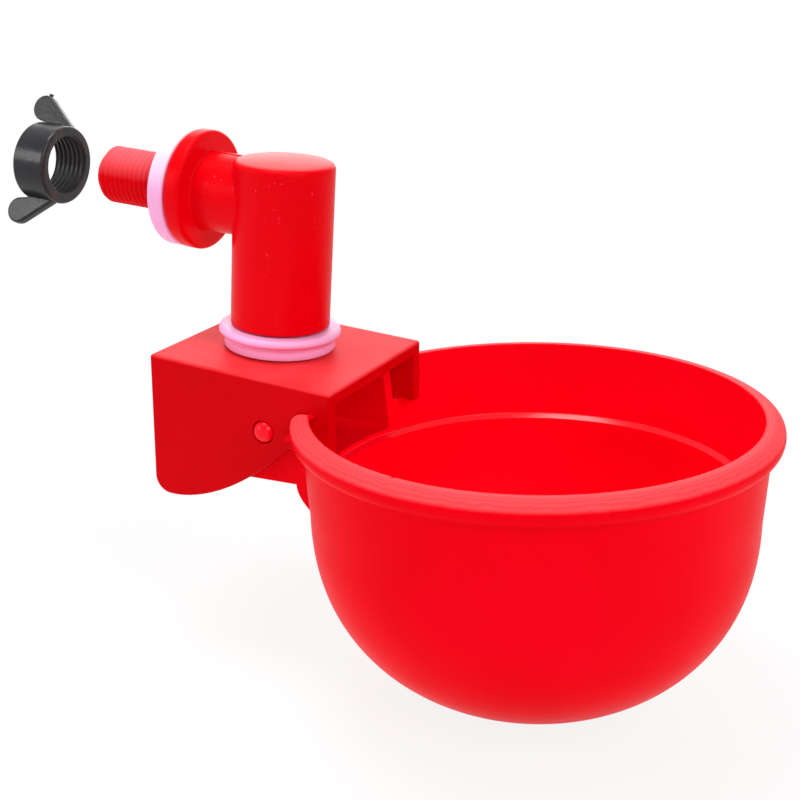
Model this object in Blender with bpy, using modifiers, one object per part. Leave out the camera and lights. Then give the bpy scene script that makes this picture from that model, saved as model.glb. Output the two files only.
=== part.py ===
"""Poultry drinking cup: a tilting bowl hung on a bracket under an elbow with a wall stud.

The frame: the origin is on the stud's axis, at the gasket's face that meets the wall.
+X runs from the wall towards the cup, +Z is up, and the cup stands as it does when empty,
with its front held up a little by the valve's spring.
"""
import math

import bmesh
import bpy
from mathutils import Matrix, Vector

# Fits and edges
SEAT_GAP = 0.0003            # between pieces that touch
SLIDE_GAP = 0.0003           # between faces that slide past each other
EDGE_BREAK = 0.0004          # small bevels on turned and moulded edges

# Inlet stud, its gasket and flange
STUD_R = 0.0049
STUD_LENGTH = 0.0146         # past the wall face of the gasket
STUD_CHAMFER = 0.0012
STUD_GASKET_R = 0.0100
STUD_GASKET_T = 0.0030
FLANGE_R = 0.0101
FLANGE_T = 0.0029
FLANGE_ROUND = 0.0005
NECK_R = 0.0067
NECK_RUN = 0.0143            # from the flange to the barrel's axis
WATERWAY_R = 0.0025

# Upright barrel
BARREL_R = 0.00845
BARREL_DROP = 0.0207         # from the stud's axis down to the barrel's foot
BARREL_RISE = 0.0061         # from the stud's axis up to the edge of the domed top
BARREL_DOME = 0.0013
BARREL_ROUND = 0.0009
CHAMBER_R = 0.0059
CHAMBER_TOP = 0.0060         # below the stud's axis
ORIFICE_R = 0.0015
NOZZLE_R = 0.0024
NOZZLE_LIP = 0.0008

# Saddle gasket between the barrel and the bracket
SADDLE_HEIGHT = 0.0042
SADDLE_FOOT_R = 0.0089
SADDLE_LIP_R = 0.01045
SADDLE_LIP_ROUND = 0.0008
SADDLE_LIP_T = 0.0015
SADDLE_GROOVE = 0.0004       # the recess between the lip and the foot

# Bracket, an inverted U
PLATE_T = 0.0023
BRACKET_WIDTH = 0.0334
BRACKET_BEHIND = 0.01525     # from the barrel's axis to the wall side edge
BRACKET_AHEAD = 0.0196       # from the barrel's axis to the cup side edge
BRACKET_HEIGHT = 0.0245      # of the side plates at the wall side
BRACKET_SLANT = 0.0010       # how far the wall side edge leans in on its way down
BRACKET_CORNER = 0.0030
NOSE_HEIGHT = 0.0108         # of the side plates at the cup side
NOSE_LENGTH = 0.0078
NOSE_SLANT = 0.0007          # how far the cup side edge leans out on its way down
LOWER_EDGE_SWEEP = 1.8       # exponent of the lower edge's curve, 1 is straight
BRACKET_ROUND = 0.0005

# Pivot and the cup's place on it
PIVOT_AHEAD = 0.0070         # from the barrel's axis
PIVOT_BELOW = 0.0089         # from the bracket's top
PIVOT_R = 0.00185
PIVOT_CLEARANCE = 0.0003
PIVOT_DOME = 0.0015
PIVOT_PROUD = 0.0010         # of the bracket's outer face
EMPTY_TILT = math.radians(5.0)
CUP_TRAVEL = math.radians(6.0)

# Bowl and rim, in the cup's own level frame
RIM_R = 0.0390
RIM_WIDTH = 0.0032           # from its outer edge to its inner edge
RIM_BEAD_R = 0.0022          # of the rolled bead round the outside
RIM_EASE = 0.0003            # softens the inner edge
RIM_OVERHANG = 0.0019        # past the bowl's outside
RIM_FROM_PIVOT = 0.0015      # from the pivot to the rim's back edge
RIM_ABOVE = 0.0042           # from the pivot up to the rim
BOWL_TAPER = 0.0008          # how far the outside leans in down to the waist
BOWL_WAIST = 0.0163          # depth at which the outside starts to round off
BOWL_DEPTH = 0.0494
BOWL_FULLNESS = 2.25         # exponent of the outline's curve, 2 is an ellipse
BOWL_WALL = 0.0015
STEP_DEPTH = 0.0130          # depth of the crease inside
STEP_IN = 0.0011             # how far the inside leans in down to the crease
STEP_LEDGE = 0.0004          # how far the wall steps in at the crease

# Trough, ears and pad behind the bowl
TROUGH_DEPTH = 0.0122        # of its floor below the rim
TROUGH_WALL = 0.0015
TROUGH_BEHIND = 0.0145       # from the pivot to its back wall
TROUGH_BACK_RISE = 0.0035    # height of the back wall over the floor
TROUGH_CHAMFER = 0.0015      # at the foot of the back wall
EAR_ABOVE = 0.0030           # over the pivot's axis
EAR_FALL = 0.0012            # of the ear's top behind the pivot, over EAR_FALL_RUN
EAR_FALL_RUN = 0.0035
ROOT_REACH = 0.00273         # of the web under the trough, back from the bowl's wall
ROOT_DEPTH = 0.0180          # of that web below the rim
ROOT_LEAN = 0.0024           # how far the web comes in to the wall on its way down
ROOT_SWEEP = 1.9             # exponent of the web's curve, 1 is straight
PAD_R = 0.0026
PAD_HEIGHT = 0.0012

# Valve
BUSH_R = 0.0056
BUSH_BORE_R = 0.0029
BUSH_TOP = 0.0175            # below the stud's axis
BUSH_FLANGE_R = 0.0084
BUSH_FLANGE_T = 0.0022
BUSH_SLOT_WIDTH = 0.0014
BUSH_SLOT_DEPTH = 0.0009
STEM_R = 0.0020
COLLAR_R = 0.0053
COLLAR_T = 0.0014
COLLAR_NOTCHES = 4           # let the water past
NOTCH_R = 0.0019
HEAD_R = 0.0038
HEAD_T = 0.0010              # under the seal
HEAD_CONE = 0.0018
HEAD_CUP_DEPTH = 0.0009
SEAL_R = 0.0029
SEAL_T = 0.0016
SPRING_R = 0.00490
SPRING_WIRE_R = 0.00035
SPRING_TURNS = 6
SPRING_DEAD_PITCH = 0.00077  # of the closed turn at each end
SPRING_STEPS = 14            # points in a turn

# Wing nut, shown off the stud
NUT_BORE_R = 0.0052
NUT_R = 0.0069
NUT_LENGTH = 0.0066
NUT_FROM_STUD = 0.0096       # from the stud's end to the nut's seating face
NUT_ROUND = 0.0005
NUT_TURN = math.radians(25.0)  # of the wings about the nut's axis, from upright
WING_T = 0.0018
WING_ROUND = 0.0003
WING_START = 0.0006          # from the seating face to the wing's root
WING_REACH = 0.0095          # from the axis to the centre of a wing's round tip
WING_SWEEP = 0.0075          # from the seating face back to that centre
WING_TIP_R = 0.00235

# Sides of round pieces and points of curves
FINE = 64
PLAIN = 48
COARSE = 32
SMALL = 24
BOWL_POINTS = 15
LOWER_EDGE_POINTS = 12
ROOT_POINTS = 3
CUT_THROUGH = 0.0020         # how far a cutter runs past what it cuts

# Places that follow from the sizes above
FLANGE_BACK = STUD_GASKET_T + SEAT_GAP
FLANGE_FACE = FLANGE_BACK + FLANGE_T
BARREL_X = FLANGE_FACE + NECK_RUN
BRACKET_TOP = -BARREL_DROP - SADDLE_HEIGHT
PIVOT = Vector((BARREL_X + PIVOT_AHEAD, 0.0, BRACKET_TOP - PIVOT_BELOW))
INNER_HALF = BRACKET_WIDTH / 2 - PLATE_T
EAR_HALF = INNER_HALF - SLIDE_GAP
VALVE_LIFT = PIVOT_AHEAD * CUP_TRAVEL
NOZZLE_TIP = -CHAMBER_TOP - NOZZLE_LIP
SEAL_TOP = NOZZLE_TIP - VALVE_LIFT - SEAT_GAP
BUSH_HOLE_R = BUSH_R + SEAT_GAP
RIM_AHEAD = RIM_R + RIM_FROM_PIVOT
RIM_INNER_R = RIM_R - RIM_WIDTH
RIM_SKIRT = 2 * RIM_BEAD_R
BOWL_TOP_R = RIM_R - RIM_OVERHANG
BOWL_WAIST_R = BOWL_TOP_R - BOWL_TAPER
STEP_R = RIM_INNER_R - STEP_IN
CHANNEL_HALF = EAR_HALF - TROUGH_WALL
SLOT_HALF = BRACKET_WIDTH / 2 + SLIDE_GAP

for leftover in list(bpy.data.objects):
    bpy.data.objects.remove(leftover, do_unlink=True)


def collection(name):
    """A collection of the scene, made if it isn't there yet."""
    found = bpy.data.collections.get(name)
    if found is None:
        found = bpy.data.collections.new(name)
        bpy.context.scene.collection.children.link(found)
    return found


PARTS = collection("poultry_drinking_cup")
CUTTERS = collection("cutters")


def material(name, colour, roughness, metallic=0.0):
    """A plain Principled material."""
    made = bpy.data.materials.new(name)
    made.use_nodes = True
    shader = made.node_tree.nodes["Principled BSDF"]
    shader.inputs["Base Color"].default_value = (*colour, 1.0)
    shader.inputs["Roughness"].default_value = roughness
    shader.inputs["Metallic"].default_value = metallic
    return made


RED_GLOSS = material("red_gloss_plastic", (0.80, 0.004, 0.006), 0.22)
RED_SATIN = material("red_satin_plastic", (0.74, 0.004, 0.006), 0.35)
PALE_RUBBER = material("pale_rubber", (0.92, 0.62, 0.78), 0.45)
BLACK_PLASTIC = material("black_plastic", (0.035, 0.036, 0.040), 0.40)
BLACK_RUBBER = material("black_rubber", (0.02, 0.02, 0.02), 0.60)
WHITE_PLASTIC = material("white_plastic", (0.80, 0.80, 0.78), 0.35)
STEEL = material("spring_steel", (0.60, 0.60, 0.62), 0.30, 1.0)


def mesh_object(name, mesh, look=None, place=(0.0, 0.0, 0.0)):
    """An object of the mesh: a part if it has a material, otherwise a cutter."""
    made = bpy.data.objects.new(name, mesh)
    made.location = place
    if look is None:
        CUTTERS.objects.link(made)
        made.hide_render = True
        made.display_type = "WIRE"
    else:
        PARTS.objects.link(made)
        made.data.materials.append(look)
    return made


def turned(name, profile, look=None, place=(0.0, 0.0, 0.0), axis="Z", steps=PLAIN, closed=False):
    """A piece turned about Z from a profile of (radius, height), its outer side top to bottom.

    With axis X the piece is then laid down, so that a height in the profile is an X.
    """
    count = len(profile)
    edges = [(i, i + 1) for i in range(count - 1)]
    if closed:
        edges.append((count - 1, 0))
    mesh = bpy.data.meshes.new(name)
    mesh.from_pydata([(r, 0.0, z) for r, z in profile], edges, [])
    made = mesh_object(name, mesh, look, place)
    screw = made.modifiers.new("turn", "SCREW")
    screw.steps = steps
    screw.render_steps = steps
    screw.use_merge_vertices = True
    screw.merge_threshold = 0.000001
    screw.use_smooth_shade = False
    if axis == "X":
        made.rotation_euler = (0.0, math.radians(90.0), 0.0)
    return made


def box(name, low, high, place=(0.0, 0.0, 0.0)):
    """A cutter between two corners."""
    low, high = Vector(low), Vector(high)
    shape = bmesh.new()
    bmesh.ops.create_cube(shape, size=1.0)
    bmesh.ops.scale(shape, vec=high - low, verts=shape.verts)
    bmesh.ops.translate(shape, vec=(low + high) / 2, verts=shape.verts)
    mesh = bpy.data.meshes.new(name)
    shape.to_mesh(mesh)
    shape.free()
    return mesh_object(name, mesh, place=place)


def cylinder(name, radius, length, place=(0.0, 0.0, 0.0), axis="Z", sides=PLAIN):
    """A cylindrical cutter centred on its place."""
    shape = bmesh.new()
    bmesh.ops.create_cone(shape, cap_ends=True, segments=sides, radius1=radius, radius2=radius, depth=length)
    if axis == "Y":
        bmesh.ops.rotate(shape, matrix=Matrix.Rotation(math.radians(90.0), 3, "X"), verts=shape.verts)
    if axis == "X":
        bmesh.ops.rotate(shape, matrix=Matrix.Rotation(math.radians(90.0), 3, "Y"), verts=shape.verts)
    mesh = bpy.data.meshes.new(name)
    shape.to_mesh(mesh)
    shape.free()
    return mesh_object(name, mesh, place=place)


def arc(centre, radius, start, end, steps):
    """Points on an arc, angles in degrees."""
    turn = [math.radians(start + (end - start) * i / steps) for i in range(steps + 1)]
    return [(centre[0] + radius * math.cos(a), centre[1] + radius * math.sin(a)) for a in turn]


def side_plate(name, outline, thickness, edge_round, look=None, place=(0.0, 0.0, 0.0)):
    """An outline in X and Z, filled and made thick along Y, with rounded edges."""
    curve = bpy.data.curves.new(name, "CURVE")
    curve.dimensions = "2D"
    curve.fill_mode = "BOTH"
    curve.extrude = thickness / 2 - edge_round
    curve.bevel_depth = edge_round
    curve.bevel_resolution = 1
    curve.offset = -edge_round
    spline = curve.splines.new("POLY")
    spline.points.add(len(outline) - 1)
    for point, (x, z) in zip(spline.points, outline):
        point.co = (x, z, 0.0, 1.0)
    spline.use_cyclic_u = True
    guide = bpy.data.objects.new(name + "_outline", curve)
    guide.rotation_euler = (math.radians(90.0), 0.0, 0.0)
    bpy.context.scene.collection.objects.link(guide)
    bpy.context.view_layer.update()
    mesh = bpy.data.meshes.new_from_object(guide.evaluated_get(bpy.context.evaluated_depsgraph_get()))
    mesh.transform(guide.matrix_world)
    bpy.data.objects.remove(guide, do_unlink=True)
    shape = bmesh.new()
    shape.from_mesh(mesh)
    bmesh.ops.remove_doubles(shape, verts=shape.verts, dist=0.000002)
    bmesh.ops.recalc_face_normals(shape, faces=shape.faces)
    shape.to_mesh(mesh)
    shape.free()
    mesh.name = name
    return mesh_object(name, mesh, look, place)


def combine(target, tool, operation):
    """Adds a live Boolean, with the tool kept among the cutters."""
    step = target.modifiers.new(tool.name, "BOOLEAN")
    step.operation = operation
    step.object = tool
    step.solver = "EXACT"


def cut(target, tool):
    """Takes the tool out of the target."""
    combine(target, tool, "DIFFERENCE")


def join(target, tool):
    """Adds the tool to the target."""
    combine(target, tool, "UNION")


def carry(child, parent):
    """Parents a cutter to the piece it shapes, so that they move together."""
    child.parent = parent


def make_elbow():
    """Stud, flange, neck and barrel in one moulding, with the waterway and the valve nozzle."""
    across = [
        (0.0, BARREL_X),
        (NECK_R, BARREL_X),
        (NECK_R, FLANGE_FACE),
        (FLANGE_R - FLANGE_ROUND, FLANGE_FACE),
        (FLANGE_R, FLANGE_FACE - FLANGE_ROUND),
        (FLANGE_R, FLANGE_BACK + FLANGE_ROUND),
        (FLANGE_R - FLANGE_ROUND, FLANGE_BACK),
        (STUD_R, FLANGE_BACK),
        (STUD_R, STUD_CHAMFER - STUD_LENGTH),
        (STUD_R - STUD_CHAMFER, -STUD_LENGTH),
        (0.0, -STUD_LENGTH),
    ]
    elbow = turned("elbow", across, RED_GLOSS, axis="X")

    upright = [(0.0, BARREL_RISE + BARREL_DOME)]
    upright += arc((BARREL_R - BARREL_ROUND, BARREL_RISE - BARREL_ROUND), BARREL_ROUND, 70.0, 0.0, 3)
    upright += [(BARREL_R, -BARREL_DROP), (0.0, -BARREL_DROP)]
    join(elbow, turned("barrel_body", upright, place=(BARREL_X, 0.0, 0.0)))

    chamber = [
        (0.0, WATERWAY_R / 2),
        (ORIFICE_R, WATERWAY_R / 2),
        (ORIFICE_R, NOZZLE_TIP),
        (NOZZLE_R, NOZZLE_TIP),
        (NOZZLE_R, -CHAMBER_TOP),
        (CHAMBER_R, -CHAMBER_TOP),
        (CHAMBER_R, -BARREL_DROP - CUT_THROUGH),
        (0.0, -BARREL_DROP - CUT_THROUGH),
    ]
    cut(elbow, turned("chamber_bore", chamber, place=(BARREL_X, 0.0, 0.0), steps=COARSE))

    start = -STUD_LENGTH - CUT_THROUGH
    end = BARREL_X + WATERWAY_R
    place = ((start + end) / 2, 0.0, 0.0)
    cut(elbow, cylinder("inlet_bore", WATERWAY_R, end - start, place, axis="X", sides=COARSE))
    return elbow


def make_gaskets():
    """The washer behind the flange and the lipped collar under the barrel."""
    washer = [
        (STUD_R + SEAT_GAP, STUD_GASKET_T),
        (STUD_GASKET_R - EDGE_BREAK, STUD_GASKET_T),
        (STUD_GASKET_R, STUD_GASKET_T - EDGE_BREAK),
        (STUD_GASKET_R, EDGE_BREAK),
        (STUD_GASKET_R - EDGE_BREAK, 0.0),
        (STUD_R + SEAT_GAP, 0.0),
    ]
    turned("stud_gasket", washer, PALE_RUBBER, axis="X", closed=True)

    foot = BRACKET_TOP + SEAT_GAP
    top = -BARREL_DROP - SEAT_GAP
    lip_under = top - SADDLE_LIP_T
    collar = [
        (BUSH_HOLE_R, top),
        (SADDLE_LIP_R - SADDLE_LIP_ROUND, top),
        (SADDLE_LIP_R, top - SADDLE_LIP_ROUND),
        (SADDLE_LIP_R, lip_under),
        (SADDLE_LIP_R - EDGE_BREAK, lip_under - EDGE_BREAK),
        (SADDLE_FOOT_R - SADDLE_GROOVE, lip_under - 2 * EDGE_BREAK),
        (SADDLE_FOOT_R, lip_under - 3 * EDGE_BREAK),
        (SADDLE_FOOT_R, foot),
        (BUSH_HOLE_R, foot),
    ]
    turned("saddle_gasket", collar, PALE_RUBBER, place=(BARREL_X, 0.0, 0.0), closed=True)


def bracket_outline():
    """The bracket seen from the side, in X and Z.

    The lower edge starts level at the wall side and sweeps up to the short nose.
    """
    back = BARREL_X - BRACKET_BEHIND
    front = BARREL_X + BRACKET_AHEAD
    heel = BRACKET_TOP - BRACKET_HEIGHT
    nose = BRACKET_TOP - NOSE_HEIGHT
    corner = (back + BRACKET_SLANT + BRACKET_CORNER, heel + BRACKET_CORNER)
    outline = [(back, BRACKET_TOP)]
    outline += arc(corner, BRACKET_CORNER, 185.0, 265.0, 5)
    reach = front - NOSE_LENGTH - corner[0]
    for i in range(LOWER_EDGE_POINTS):
        t = i / (LOWER_EDGE_POINTS - 1)
        outline.append((corner[0] + reach * t, heel + (nose - heel) * t ** LOWER_EDGE_SWEEP))
    outline += [(front, nose), (front - NOSE_SLANT, BRACKET_TOP)]
    return outline


def make_bracket():
    """The inverted U: one outline across the full width, hollowed, with its holes."""
    bracket = side_plate("bracket", bracket_outline(), BRACKET_WIDTH, BRACKET_ROUND, RED_GLOSS)
    hollow = box(
        "bracket_hollow",
        (BARREL_X - BRACKET_BEHIND - CUT_THROUGH, -INNER_HALF, BRACKET_TOP - BRACKET_HEIGHT - CUT_THROUGH),
        (BARREL_X + BRACKET_AHEAD + CUT_THROUGH, INNER_HALF, BRACKET_TOP - PLATE_T),
    )
    cut(bracket, hollow)
    middle = (BARREL_X, 0.0, BRACKET_TOP - PLATE_T / 2)
    cut(bracket, cylinder("bush_hole", BUSH_HOLE_R, PLATE_T + 2 * CUT_THROUGH, middle))
    length = BRACKET_WIDTH + 2 * CUT_THROUGH
    cut(bracket, cylinder("pivot_holes", PIVOT_R + PIVOT_CLEARANCE, length, PIVOT, axis="Y", sides=SMALL))
    return bracket


def bowl_curve(radius, start, end):
    """Points of the bowl's rounded part below its waist, as (radius, depth), going down."""
    points = []
    for i in range(1, BOWL_POINTS):
        t = math.pi / 2 * i / BOWL_POINTS
        across = radius * math.cos(t) ** (2 / BOWL_FULLNESS)
        points.append((across, start + (end - start) * math.sin(t) ** (2 / BOWL_FULLNESS)))
    points.append((0.0, end))
    return points


def bowl_body_profile():
    """The solid bowl from the middle of its top down its outside, depths made heights."""
    profile = [(0.0, 0.0)]
    profile += arc((RIM_R - RIM_BEAD_R, -RIM_BEAD_R), RIM_BEAD_R, 90.0, -75.0, 7)
    outside = [(BOWL_TOP_R, RIM_SKIRT), (BOWL_WAIST_R, BOWL_WAIST)]
    outside += bowl_curve(BOWL_WAIST_R, BOWL_WAIST, BOWL_DEPTH)
    return profile + [(radius, -depth) for radius, depth in outside]


def bowl_hollow_profile():
    """The space inside the bowl, from above the rim down its inside."""
    inside = [
        (0.0, -CUT_THROUGH),
        (RIM_INNER_R + RIM_EASE, -CUT_THROUGH),
        (RIM_INNER_R + RIM_EASE, 0.0),
        (RIM_INNER_R, RIM_EASE),
        (STEP_R, STEP_DEPTH),
    ]
    inside += bowl_curve(STEP_R - STEP_LEDGE, STEP_DEPTH, BOWL_DEPTH - BOWL_WALL)
    return [(radius, -depth) for radius, depth in inside]


def trough_outline():
    """Trough, ears and root web from the side, about the pivot, in X and Z."""
    floor = RIM_ABOVE - TROUGH_DEPTH
    under = floor - TROUGH_WALL
    root = RIM_ABOVE - ROOT_DEPTH
    wall_middle = RIM_AHEAD - math.sqrt(BOWL_TOP_R ** 2 - EAR_HALF ** 2) + BOWL_WALL / 2
    outline = [
        (-TROUGH_BEHIND, floor + TROUGH_BACK_RISE),
        (-TROUGH_BEHIND, under + TROUGH_CHAMFER),
        (TROUGH_CHAMFER - TROUGH_BEHIND, under),
    ]
    for i in range(ROOT_POINTS + 1):
        t = i / ROOT_POINTS
        outline.append((wall_middle - ROOT_REACH + ROOT_LEAN * t ** ROOT_SWEEP, under + (root - under) * t))
    outline += [
        (wall_middle, root),
        (wall_middle, EAR_ABOVE),
        (-PIVOT_R, EAR_ABOVE),
        (-PIVOT_R - EAR_FALL_RUN, EAR_ABOVE - EAR_FALL),
    ]
    return outline


def slot_floor():
    """The floor of the slots for the side plates, from the pivot, in the cup's level frame.

    It lies just under the plates' noses, which keep the empty cup from tipping further up.
    """
    reach = RIM_AHEAD - math.sqrt(RIM_INNER_R ** 2 - SLOT_HALF ** 2)
    nose = (NOSE_HEIGHT - PIVOT_BELOW) * math.cos(EMPTY_TILT) + reach * math.sin(EMPTY_TILT)
    return -nose - SEAT_GAP


def make_cup():
    """Bowl, rim, trough, ears, pivot bosses and pad in one moulding.

    It is built about the pivot in the cup's level frame, and the finished piece is then
    tipped up by the tilt that the empty cup has.
    """
    floor = RIM_ABOVE - TROUGH_DEPTH
    over_rim = RIM_ABOVE + CUT_THROUGH
    bowl_axis = (RIM_AHEAD, 0.0, RIM_ABOVE)
    cup = side_plate("cup", trough_outline(), 2 * EAR_HALF, EDGE_BREAK, RED_GLOSS, place=PIVOT)
    cup.rotation_euler = (0.0, -EMPTY_TILT, 0.0)

    body = turned("bowl_body", bowl_body_profile(), place=bowl_axis, steps=FINE)
    inside = turned("bowl_hollow", bowl_hollow_profile(), place=bowl_axis, steps=FINE)
    channel = box(
        "trough_channel",
        (TROUGH_WALL - TROUGH_BEHIND, -CHANNEL_HALF, floor),
        (RIM_AHEAD - CHANNEL_HALF, CHANNEL_HALF, over_rim),
    )
    over_ears = box(
        "bracket_gap",
        (-TROUGH_BEHIND - CUT_THROUGH, -SLOT_HALF, EAR_ABOVE),
        (RIM_AHEAD - SLOT_HALF, SLOT_HALF, over_rim),
    )
    carry(body, cup)
    join(cup, body)
    for cutter in (inside, channel, over_ears):
        carry(cutter, cup)
        cut(cup, cutter)
    for side in (-1, 1):
        near, far = sorted((side * EAR_HALF, side * SLOT_HALF))
        slot = box("plate_slot", (0.0, near, slot_floor()), (RIM_AHEAD - SLOT_HALF, far, over_rim))
        carry(slot, cup)
        cut(cup, slot)

    tip = BRACKET_WIDTH / 2 + PIVOT_PROUD
    boss = [(0.0, tip)]
    for i in range(1, 5):
        t = math.pi / 2 * i / 4
        boss.append((PIVOT_R * math.sin(t), tip - PIVOT_DOME * (1 - math.cos(t))))
    boss += [(PIVOT_R, EAR_HALF - TROUGH_WALL / 2), (0.0, EAR_HALF - TROUGH_WALL / 2)]
    for side in (-1, 1):
        dome = turned("pivot_boss", boss, steps=SMALL)
        dome.rotation_euler = (math.radians(-90.0 * side), 0.0, 0.0)
        carry(dome, cup)
        join(cup, dome)

    middle = floor + (PAD_HEIGHT - TROUGH_WALL / 2) / 2
    height = PAD_HEIGHT + TROUGH_WALL / 2
    pad = cylinder("valve_pad", PAD_R, height, (-PIVOT_AHEAD, 0.0, middle), sides=SMALL)
    carry(pad, cup)
    join(cup, pad)
    return cup


def pad_height():
    """Where the pad's top lies under the barrel's axis when the cup is empty."""
    pad_top = RIM_ABOVE - TROUGH_DEPTH + PAD_HEIGHT
    return PIVOT.z + pad_top * math.cos(EMPTY_TILT) - PIVOT_AHEAD * math.sin(EMPTY_TILT)


def make_bush():
    """The bush screwed in from below: it clamps bracket and gasket and guides the plunger."""
    under_plate = BRACKET_TOP - PLATE_T - SEAT_GAP
    end = under_plate - BUSH_FLANGE_T
    profile = [
        (BUSH_BORE_R, -BUSH_TOP),
        (BUSH_R - EDGE_BREAK, -BUSH_TOP),
        (BUSH_R, -BUSH_TOP - EDGE_BREAK),
        (BUSH_R, under_plate),
        (BUSH_FLANGE_R, under_plate),
        (BUSH_FLANGE_R, end + EDGE_BREAK),
        (BUSH_FLANGE_R - EDGE_BREAK, end),
        (BUSH_BORE_R, end),
    ]
    axis = (BARREL_X, 0.0, 0.0)
    bush = turned("valve_bush", profile, RED_SATIN, place=axis, steps=COARSE, closed=True)
    across = BUSH_FLANGE_R + CUT_THROUGH
    slot = box(
        "driver_slot",
        (-across, -BUSH_SLOT_WIDTH / 2, end - CUT_THROUGH),
        (across, BUSH_SLOT_WIDTH / 2, end + BUSH_SLOT_DEPTH),
        place=axis,
    )
    cut(bush, slot)
    return bush


def make_valve():
    """The plunger that the pad lifts, with the seal in its head, and the spring round it."""
    axis = (BARREL_X, 0.0, 0.0)
    seal_under = SEAL_TOP - SEAL_T
    seal = [
        (0.0, SEAL_TOP),
        (SEAL_R - EDGE_BREAK, SEAL_TOP),
        (SEAL_R, SEAL_TOP - EDGE_BREAK),
        (SEAL_R, seal_under),
        (0.0, seal_under),
    ]
    turned("valve_seal", seal, BLACK_RUBBER, place=axis, steps=SMALL)

    cup_floor = seal_under - SEAT_GAP
    head_under = cup_floor - HEAD_T
    collar_under = SEAT_GAP - BUSH_TOP
    collar_top = collar_under + COLLAR_T
    stem_end = pad_height() + SEAT_GAP
    plunger = [
        (0.0, cup_floor),
        (SEAL_R + SEAT_GAP, cup_floor),
        (SEAL_R + SEAT_GAP, cup_floor + HEAD_CUP_DEPTH),
        (HEAD_R, cup_floor + HEAD_CUP_DEPTH),
        (HEAD_R, head_under),
        (STEM_R, head_under - HEAD_CONE),
        (STEM_R, collar_top),
        (COLLAR_R, collar_top),
        (COLLAR_R, collar_under),
        (STEM_R, collar_under),
    ]
    plunger += arc((0.0, stem_end + STEM_R), STEM_R, 0.0, -90.0, 5)
    stem = turned("valve_plunger", plunger, WHITE_PLASTIC, place=axis, steps=COARSE)
    height = (collar_top + collar_under) / 2
    for i in range(COLLAR_NOTCHES):
        turn = math.radians(360.0 * (i + 0.5) / COLLAR_NOTCHES)
        place = (BARREL_X + COLLAR_R * math.cos(turn), COLLAR_R * math.sin(turn), height)
        cut(stem, cylinder("collar_notch", NOTCH_R, COLLAR_T + CUT_THROUGH, place, sides=SMALL))
    make_spring(-CHAMBER_TOP - SEAT_GAP, collar_top + SEAT_GAP)


def make_spring(top, bottom):
    """The valve's spring, a coil whose end turns close up."""
    high = top - SPRING_WIRE_R
    low = bottom + SPRING_WIRE_R
    curve = bpy.data.curves.new("valve_spring", "CURVE")
    curve.dimensions = "3D"
    curve.bevel_depth = SPRING_WIRE_R
    curve.bevel_resolution = 1
    curve.use_fill_caps = True
    count = SPRING_TURNS * SPRING_STEPS
    spline = curve.splines.new("POLY")
    spline.points.add(count)
    for i in range(count + 1):
        turns = i / SPRING_STEPS
        live = (turns - 1) / (SPRING_TURNS - 2)
        if turns < 1:
            z = high - SPRING_DEAD_PITCH * turns
        elif turns > SPRING_TURNS - 1:
            z = low + SPRING_DEAD_PITCH * (SPRING_TURNS - turns)
        else:
            z = high - SPRING_DEAD_PITCH - (high - low - 2 * SPRING_DEAD_PITCH) * live
        angle = 2 * math.pi * turns
        spline.points[i].co = (SPRING_R * math.cos(angle), SPRING_R * math.sin(angle), z, 1.0)
    spring = bpy.data.objects.new("valve_spring", curve)
    spring.location = (BARREL_X, 0.0, 0.0)
    curve.materials.append(STEEL)
    PARTS.objects.link(spring)
    return spring


def wing_outline(side):
    """One wing in X and Z from the seating face: a blade swept back to a round tip."""
    tip = Vector((-WING_SWEEP, WING_REACH))
    start = Vector((-WING_START, NUT_R))
    along = tip - start
    lean = math.degrees(math.atan2(along.y, along.x))
    swing = math.degrees(math.asin(WING_TIP_R / along.length))
    root = (NUT_BORE_R + NUT_R) / 2
    end = EDGE_BREAK - NUT_LENGTH
    outline = [(start.x, root), (start.x, start.y)]
    outline += arc(tip, WING_TIP_R, lean - swing - 90.0, 255.0, 9)
    outline += [(end, NUT_R), (end, root)]
    return [(x, side * z) for x, z in outline][::side]


def make_wing_nut():
    """The nut for the back of the wall, off the stud and in line with it."""
    hub = [
        (0.0, 0.0),
        (NUT_R - NUT_ROUND, 0.0),
        (NUT_R, -NUT_ROUND),
        (NUT_R, NUT_ROUND - NUT_LENGTH),
        (NUT_R - NUT_ROUND, -NUT_LENGTH),
        (0.0, -NUT_LENGTH),
    ]
    face = (-STUD_LENGTH - NUT_FROM_STUD, 0.0, 0.0)
    nut = turned("wing_nut", hub, BLACK_PLASTIC, place=face, axis="X")
    for side in (1, -1):
        blade = side_plate("wing_blade", wing_outline(side), WING_T, WING_ROUND, place=face)
        blade.rotation_euler = (-NUT_TURN, 0.0, 0.0)
        join(nut, blade)
    middle = (face[0] - NUT_LENGTH / 2, 0.0, 0.0)
    cut(nut, cylinder("nut_bore", NUT_BORE_R, NUT_LENGTH + 2 * CUT_THROUGH, middle, axis="X"))
    return nut


make_elbow()
make_gaskets()
make_bracket()
make_cup()
make_bush()
make_valve()
make_wing_nut()
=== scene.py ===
# %% [markdown]
# # A poultry drinking cup
# A hen pecks at the water, the bowl grows lighter, and a small valve in the upright barrel
# lets more water in. The cup hangs from a bracket, and the bracket hangs from an elbow that
# is screwed through a wall. Most of it is one glossy red plastic, so this lesson is about
# turning, extruding and cutting clean shapes, and about a plastic that looks moulded.
#
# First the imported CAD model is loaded. It is never moved: it tells every new piece where to go.

# %% Load the frame
import math

import bpy
from mathutils import Matrix, Vector


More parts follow.
